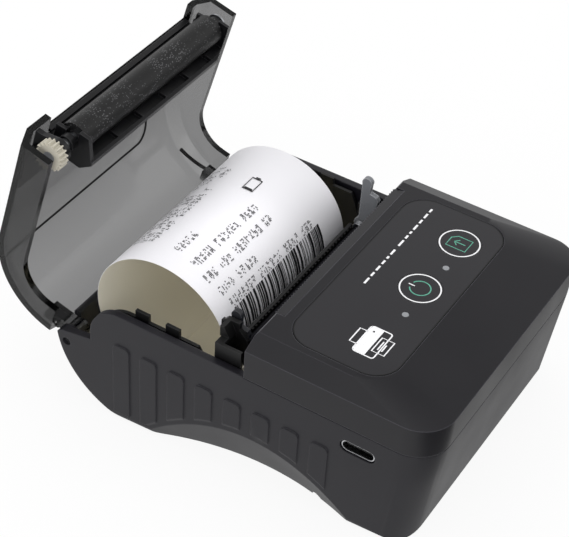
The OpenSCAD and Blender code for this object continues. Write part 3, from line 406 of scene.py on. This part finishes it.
# ---------------------------------------------------------------- charging socket
# A drawn and nickel-plated steel shell, bright at its rim. The tongue inside is black
# glass-filled nylon, which most of the inner mouldings are made of too.
def metal(name, code, rough, grain_mm):
    made, tree = new_finish(name)
    place = node(tree, "ShaderNodeTexCoord")
    grain = node(tree, "ShaderNodeTexNoise", {"Scale": 1000 / grain_mm, "Detail": 2.0},
                 {"Vector": place.outputs["Object"]})
    gloss = node(tree, "ShaderNodeMapRange", {"To Min": rough - 0.06, "To Max": rough + 0.06},
                 {"Value": grain.outputs["Fac"]})
    edge = node(tree, "ShaderNodeBevel", {"samples": 4, "Radius": 0.0001})
    bump = node(tree, "ShaderNodeBump", {"Strength": 0.2, "Distance": 0.00001},
                {"Height": grain.outputs["Fac"], "Normal": edge.outputs[0]})
    shade = node(tree, "ShaderNodeBsdfPrincipled", {"Base Color": srgb(code), "Metallic": 1.0},
                 {"Roughness": gloss.outputs[0], "Normal": bump.outputs[0]})
    node(tree, "ShaderNodeOutputMaterial", links={"Surface": shade.outputs[0]})
    return made


nickel = metal("nickel_plated_shell", "#e6e7ea", 0.22, 1.0)
paint(nickel, "usb_socket")
# The nylon's edges carry a painted highlight that makes them a little lighter.
nylon = moulded("black_glass_filled_nylon", "#0b0b0c", 0.45, 0.8, 0.02, "#2b2b2d", 0.15)
paint(nylon, "usb_tongue")

# ---------------------------------------------------------------- tear bar and print unit
# The toothed bar is moulded in the case's black. The unit under it is glass-filled nylon
# with zinc-plated steel fasteners, a blackened steel rod, a black anodised heat sink and a
# brown glazed ceramic head.
# The tear bar shares the upper half's painted highlight along its edges.
paint(abs_top, "tear_bar")
paint(nylon, "paper_tray", "print_frame", "board_parts")
steel = metal("zinc_plated_steel", "#b4b6ba", 0.3, 0.6)
paint(steel, "head_springs", "motor_screws", "latch_springs", "axle_clips", "frame_screws", "feed_motor")
blacked = metal("black_oxide_steel", "#26262a", 0.5, 0.4)
paint(blacked, "latch_rod")
aluminium = metal("black_anodised_aluminium", "#2c2c2f", 0.4, 0.5)
paint(aluminium, "head_heatsink")
alumina = moulded("brown_glazed_alumina", "#2e2622", 0.15, 1.5, 0.005)
paint(alumina, "head_ceramic")

# ---------------------------------------------------------------- latches
# Two rocking arms catch the roller's bushes. The left one is dark acetal, and the right one
# is a pale grey natural acetal, rough from its mould. Both have a painted highlight that makes their edges
# lighter.
latch_dark = moulded("dark_grey_acetal", "#232428", 0.4, 0.8, 0.02, "#4a4b50")
paint(latch_dark, "left_latch")
latch_pale = moulded("pale_grey_acetal", "#75777b", 0.45, 0.9, 0.35, "#b0b2b6", 0.4)
paint(latch_pale, "right_latch")

# ---------------------------------------------------------------- gears
# The three gears are injection-moulded in natural white acetal, which looks slightly waxy.
# The motor's pinion is turned from brass.
acetal = moulded("natural_white_acetal", "#bcb7a9", 0.38, 1.0, 0.01, radius_mm=0.1)
paint(acetal, "platen_gear", "idler_gear", "drive_gear")
brass = metal("turned_brass", "#c8a24a", 0.25, 0.5)
paint(brass, "motor_pinion")

# ---------------------------------------------------------------- boards and battery
# Green solder mask on glass-fibre board, tin-plated switch shells, zinc-plated screws and a
# flat lithium cell in a blue shrink sleeve.
solder_mask = moulded("green_solder_mask", "#1d5b39", 0.3, 1.2, 0.01)
paint(solder_mask, "main_board", "panel_board")
tin = metal("tin_plated_switch_shell", "#c2c3c4", 0.35, 0.6)
paint(tin, "key_switches")
paint(steel, "board_screws", "panel_screws", "door_screw", "case_screws")
sleeve = moulded("blue_shrink_sleeve", "#3b6ea5", 0.35, 2.0, 0.02)
paint(sleeve, "battery")

# ---------------------------------------------------------------- roller
# Ground black silicone rubber on a steel shaft. Paper dust sticks to it as fine pale specks,
# drawn a little coarser than they are, and denser in some patches than in others.
rubber, tree = new_finish("ground_silicone_rubber")
place = node(tree, "ShaderNodeTexCoord")
patch = node(tree, "ShaderNodeTexNoise", {"Scale": 120.0, "Detail": 3.0},
             {"Vector": place.outputs["Object"]})
reach = node(tree, "ShaderNodeMapRange", {"From Min": 0.32, "From Max": 0.6, "To Min": 0.1, "To Max": 0.36},
             {"Value": patch.outputs["Fac"]})
specks = node(tree, "ShaderNodeTexVoronoi", {"Scale": 2100.0, "Randomness": 1.0},
              {"Vector": place.outputs["Object"]})
close = node(tree, "ShaderNodeMath", {"operation": "LESS_THAN"},
             {0: specks.outputs["Distance"], 1: reach.outputs[0]})
chosen = node(tree, "ShaderNodeSeparateXYZ", links={0: specks.outputs["Color"]})
some = node(tree, "ShaderNodeMath", {"operation": "GREATER_THAN", 1: 0.45}, {0: chosen.outputs[0]})
dust = node(tree, "ShaderNodeMath", {"operation": "MULTIPLY"}, {0: close.outputs[0], 1: some.outputs[0]})
tint = node(tree, "ShaderNodeMix", {"data_type": "RGBA", 6: srgb("#0c0c0d"), 7: srgb("#5c5c5e")},
            {0: dust.outputs[0]})
grain = node(tree, "ShaderNodeTexNoise", {"Scale": 2200.0, "Detail": 3.0},
             {"Vector": place.outputs["Object"]})
bump = node(tree, "ShaderNodeBump", {"Strength": 0.5, "Distance": 0.00003},
            {"Height": grain.outputs["Fac"]})
shade = node(tree, "ShaderNodeBsdfPrincipled", {"Roughness": 0.5},
             {"Base Color": tint.outputs[2], "Normal": bump.outputs[0]})
node(tree, "ShaderNodeOutputMaterial", links={"Surface": shade.outputs[0]})
paint(rubber, "platen_roller")
paint(steel, "platen_shaft", "shaft_clip", "hinge_pins", "carrier_screws")

# ---------------------------------------------------------------- roller carrier
# Black nylon with a slight gloss, screwed to the lid, with ribs behind the roller. The
# bushes that carry the shaft are of the same nylon.
# Its edges carry a painted highlight that makes them lighter.
carrier_nylon = moulded("black_nylon_carrier", "#0c0c0e", 0.36, 0.6, 0.015, "#3a3a3d", 0.2)
paint(carrier_nylon, "roller_carrier", "platen_bushes")

# ---------------------------------------------------------------- lid
# One moulding in smoky see-through polycarbonate. A single wall lets about a quarter of
# the light through, and looking along a wall it turns black.
smoky, tree = new_finish("smoky_polycarbonate")
place = node(tree, "ShaderNodeTexCoord")
flow = node(tree, "ShaderNodeTexNoise", {"Scale": 45.0, "Detail": 2.0}, {"Vector": place.outputs["Object"]})
gloss = node(tree, "ShaderNodeMapRange", {"To Min": 0.08, "To Max": 0.2}, {"Value": flow.outputs["Fac"]})
shade = node(tree, "ShaderNodeBsdfPrincipled",
             {"Base Color": srgb("#ffffff"), "IOR": 1.5, "Transmission Weight": 1.0},
             {"Roughness": gloss.outputs[0]})
depth = node(tree, "ShaderNodeVolumeAbsorption", {"Color": srgb("#2a2a2e"), "Density": 700.0})
node(tree, "ShaderNodeOutputMaterial", links={"Surface": shade.outputs[0], "Volume": depth.outputs[0]})
smooth_skin("lid_cover", smoky, 22)

# Inside the lid a thin welding rib runs across behind the roller and turns forward at
# its right end, and a short guide rib stands beside the coil. Both are made in black nylon as painted
# shade: the dark lines that show along them.
open_angle = math.radians(74.6)
open_turn = Matrix.Rotation(-open_angle, 4, "X")
hinge = Matrix.Translation((0, 0.0531, -0.0174))
LID = JOINT @ hinge @ open_turn @ hinge.inverted()
lid_y, lid_z, lid_inner = 33.4, -11.5, 20.77


def lid_inside(x, y, lift):
    """A point lift millimetres off the inner face of the lid, given by its place when closed."""
    if y < lid_y:
        return LID @ Vector((x / 1000, y / 1000, (lid_z + lid_inner - lift) / 1000))
    r = lid_inner - lift
    turn = (y - lid_y) / lid_inner
    y, z = lid_y + r * math.sin(turn), lid_z + r * math.cos(turn)
    return LID @ Vector((x / 1000, y / 1000, z / 1000))


def tube(name, verts, finishes):
    """A closed strip through rings of four points each."""
    last = len(verts) - 4
    faces = []
    for i in range(0, last, 4):
        for j in range(4):
            k = (j + 1) % 4
            faces.append((i + j, i + k, i + 4 + k, i + 4 + j))
    faces += [(3, 2, 1, 0), (last, last + 1, last + 2, last + 3)]
    made = bpy.data.meshes.new(name)
    made.from_pydata(verts, [], faces)
    for finish in finishes:
        made.materials.append(finish)
    return made


def turn_outward(made):
    shell = bmesh.new()
    shell.from_mesh(made)
    bmesh.ops.recalc_face_normals(shell, faces=shell.faces)
    shell.to_mesh(made)
    shell.free()


def lid_rib(name, points, width, lift, finish):
    """A rib on the lid's inner face, through points given at their place when closed."""
    verts = []
    for i, (x, y) in enumerate(points):
        before, after = points[max(i - 1, 0)], points[min(i + 1, len(points) - 1)]
        dx, dy = after[0] - before[0], after[1] - before[1]
        size = math.hypot(dx, dy)
        side = (-dy / size * width / 2, dx / size * width / 2)
        for s, h in ((1, 0.02), (1, lift), (-1, lift), (-1, 0.02)):
            verts.append(lid_inside(x + s * side[0], y + s * side[1], h))
    made_mesh = tube(name, verts, [finish])
    turn_outward(made_mesh)
    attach(linked(name, made_mesh), "lid")


weld = [(-37.5 + i * 2.5, 42.8) for i in range(23)]
weld += [(19.5 + 4.6 * math.sin(a), 38.2 + 4.6 * math.cos(a)) for a in np.linspace(0.1, 1.57, 10)]
weld += [(24.2, 36.0), (24.3, 33.0), (24.3, 28.0)]
lid_rib("weld_rib", weld, 0.35, 0.45, nylon)
lid_rib("guide_rib", [(34.6 + 0.17 * i, 52.9 + 0.62 * i) for i in range(16)], 0.8, 0.7, nylon)

# ---------------------------------------------------------------- paper
# A short coil of thermal paper, a little over one loose turn. Its face is smooth and faintly
# violet white, and its back is a warm cream.
coil_x0, coil_x1 = -26.0, 31.0
coil_y, coil_z = 33.5, -11.95
coil_r, coil_growth = 19.84, 0.2
thin = 0.1


def paper_finish(name, code, rough):
    made, tree = new_finish(name)
    place = node(tree, "ShaderNodeTexCoord")
    fibre = node(tree, "ShaderNodeTexNoise", {"Scale": 900.0, "Detail": 4.0},
                 {"Vector": place.outputs["Object"]})
    cloud = node(tree, "ShaderNodeTexNoise", {"Scale": 70.0, "Detail": 2.0},
                 {"Vector": place.outputs["Object"]})
    uneven = node(tree, "ShaderNodeMapRange", {"To Min": 0.97, "To Max": 1.0},
                  {"Value": cloud.outputs["Fac"]})
    tint = node(tree, "ShaderNodeHueSaturation", {"Color": srgb(code)}, {"Value": uneven.outputs[0]})
    bump = node(tree, "ShaderNodeBump", {"Strength": 0.3, "Distance": 0.00002},
                {"Height": fibre.outputs["Fac"]})
    shade = node(tree, "ShaderNodeBsdfPrincipled", {"Roughness": rough},
                 {"Base Color": tint.outputs[0], "Normal": bump.outputs[0]})
    node(tree, "ShaderNodeOutputMaterial", links={"Surface": shade.outputs[0]})
    return made


paper_face = paper_finish("thermal_paper_face", "#f4f3f7", 0.55)
paper_back = paper_finish("thermal_paper_back", "#f4eedb", 0.6)


def on_coil(x, r, turn):
    return on_case(x, coil_y - r * math.cos(turn), coil_z + r * math.sin(turn))


turns, steps = 1.15, 160
verts = []
for i in range(steps + 1):
    share = i / steps
    turn = math.radians(-100) + share * turns * 2 * math.pi
    inner, outer = (coil_r + coil_growth * share + side for side in (-thin / 2, thin / 2))
    for x, r in ((coil_x0, inner), (coil_x0, outer), (coil_x1, outer), (coil_x1, inner)):
        verts.append(on_coil(x, r, turn))
mesh = tube("paper_sheet", verts, [paper_face, paper_back])
for i, face in enumerate(mesh.polygons):
    face.material_index = 1 if i < 4 * steps and i % 4 == 3 else 0
    face.use_smooth = i < 4 * steps and i % 2 == 1
turn_outward(mesh)
for line in mesh.edges:
    line.use_edge_sharp = False
coil = linked("paper_sheet", mesh)
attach(coil, "case")
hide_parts("paper_coil")

# ---------------------------------------------------------------- print on the paper
# Thermal print turns the coating dark grey. Rows of plain random dots stand for lines of
# print, with a row of bars near the tear bar and the outline of a charge gauge.
thermal_ink = ink("thermal_print", "#1e1d21")
print_r = 20.13


def print_tree():
    """Spreads one small patch per mark and wraps the flat print round the coil."""
    made = bpy.data.node_groups.new("wrap_print", "GeometryNodeTree")
    made.interface.new_socket("Marks", in_out="INPUT", socket_type="NodeSocketGeometry")
    for label, value in (("Coil radius", print_r / 1000), ("Coil Y", coil_y / 1000),
                         ("Coil Z", coil_z / 1000)):
        socket = made.interface.new_socket(label, in_out="INPUT", socket_type="NodeSocketFloat")
        socket.default_value = value
    ink_socket = made.interface.new_socket("Ink", in_out="INPUT", socket_type="NodeSocketMaterial")
    ink_socket.default_value = thermal_ink
    made.interface.new_socket("Print", in_out="OUTPUT", socket_type="NodeSocketGeometry")
    given = node(made, "NodeGroupInput")
    patch = node(made, "GeometryNodeMeshGrid",
                 {"Size X": 1.0, "Size Y": 1.0, "Vertices X": 2, "Vertices Y": 5})
    size = node(made, "GeometryNodeInputNamedAttribute", {"data_type": "FLOAT_VECTOR", "Name": "size"})
    spread = node(made, "GeometryNodeInstanceOnPoints", links={
        "Points": given.outputs["Marks"], "Instance": patch.outputs["Mesh"],
        "Scale": size.outputs["Attribute"]})
    real = node(made, "GeometryNodeRealizeInstances", links={0: spread.outputs[0]})
    place = node(made, "GeometryNodeInputPosition")
    flat = node(made, "ShaderNodeSeparateXYZ", links={0: place.outputs[0]})
    turn = node(made, "ShaderNodeMath", {"operation": "DIVIDE"},
                {0: flat.outputs["Y"], 1: given.outputs["Coil radius"]})
    cosine = node(made, "ShaderNodeMath", {"operation": "COSINE"}, {0: turn.outputs[0]})
    sine = node(made, "ShaderNodeMath", {"operation": "SINE"}, {0: turn.outputs[0]})
    along = node(made, "ShaderNodeMath", {"operation": "MULTIPLY"},
                 {0: cosine.outputs[0], 1: given.outputs["Coil radius"]})
    rise = node(made, "ShaderNodeMath", {"operation": "MULTIPLY"},
                {0: sine.outputs[0], 1: given.outputs["Coil radius"]})
    y = node(made, "ShaderNodeMath", {"operation": "SUBTRACT"},
             {0: given.outputs["Coil Y"], 1: along.outputs[0]})
    z = node(made, "ShaderNodeMath", {"operation": "ADD"},
             {0: given.outputs["Coil Z"], 1: rise.outputs[0]})
    bent = node(made, "ShaderNodeCombineXYZ",
                links={"X": flat.outputs["X"], "Y": y.outputs[0], "Z": z.outputs[0]})
    wrapped = node(made, "GeometryNodeSetPosition",
                   links={"Geometry": real.outputs[0], "Position": bent.outputs[0]})
    inked = node(made, "GeometryNodeSetMaterial",
                 links={"Geometry": wrapped.outputs[0], "Material": given.outputs["Ink"]})
    node(made, "NodeGroupOutput", links={0: inked.outputs[0]})
    return made


# Each mark is a point at its place along the paper, with its width and height as "size". A row
# has its angle round the coil and its two ends, and a row's letters are random dots 3 by 6.
wrap = print_tree()
rng = np.random.default_rng(7)
marks = []
rows = [(34.8, -19.4, 20.3), (46.5, -20.6, -4.9), (59.8, -21.3, 8.8), (73.5, -20.1, 7.0),
        (91.0, -18.7, -8.8), (116.0, -17.7, 9.0), (125.0, -18.0, 4.0), (133.5, -18.0, 5.0),
        (142.0, -17.5, 8.0), (118.0, 14.0, 18.0), (127.0, 11.0, 20.0), (135.0, 9.5, 19.5)]
dot_w, dot_h = 0.24, 0.37
column_step, row_step = 0.4, 0.42
letter_step, word_gap = 1.7, 1.6
dot_chance = 0.48
for turn, x0, x1 in rows:
    middle = math.radians(turn) * print_r
    word = rng.integers(3, 8)
    x = x0
    while x < x1:
        if word == 0:
            word = rng.integers(3, 8)
            x += word_gap
            continue
        for column in range(3):
            for row in range(6):
                if rng.random() < dot_chance:
                    marks.append((x + column_step * column, middle + row_step * (row - 2.5), dot_w, dot_h))
        word -= 1
        x += letter_step
x, bars_end = -19.2, 21.6
bar_middle, bar_height = math.radians(19.5) * print_r, math.radians(22) * print_r
while x < bars_end:
    width = rng.choice((0.26, 0.26, 0.52, 0.78))
    marks.append((x + width / 2, bar_middle, width, bar_height))
    x += width + rng.choice((0.3, 0.3, 0.55, 0.8))
gauge = math.radians(88) * print_r
marks += [(12.0, gauge, 0.7, 2.4), (16.6, gauge, 0.35, 3.2), (11.6, gauge, 0.4, 3.2),
          (17.1, gauge, 0.5, 1.4), (14.1, gauge + 1.5, 5.2, 0.25), (14.1, gauge - 1.5, 5.2, 0.25)]
points = bpy.data.meshes.new("marks")
points.from_pydata([(m[0] / 1000, m[1] / 1000, 0) for m in marks], [], [])
sizes = points.attributes.new("size", "FLOAT_VECTOR", "POINT")
sizes.data.foreach_set("vector", [v for m in marks for v in (m[2] / 1000, m[3] / 1000, 1.0)])
holder = linked("thermal_marks", points)
step = holder.modifiers.new("wrap", "NODES")
step.node_group = wrap
evaluated = holder.evaluated_get(bpy.context.evaluated_depsgraph_get())
wrapped = bpy.data.meshes.new_from_object(evaluated)
holder.modifiers.clear()
holder.data = wrapped
holder.data.transform(JOINT)
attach(holder, "case")

# ---------------------------------------------------------------- sizes
# The box round the solids and the box round this model are gathered, in metres, so that
# the two can be compared.
sizes = {"cad": [list(v) for v in cad_box], "visual": [list(v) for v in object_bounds()]}
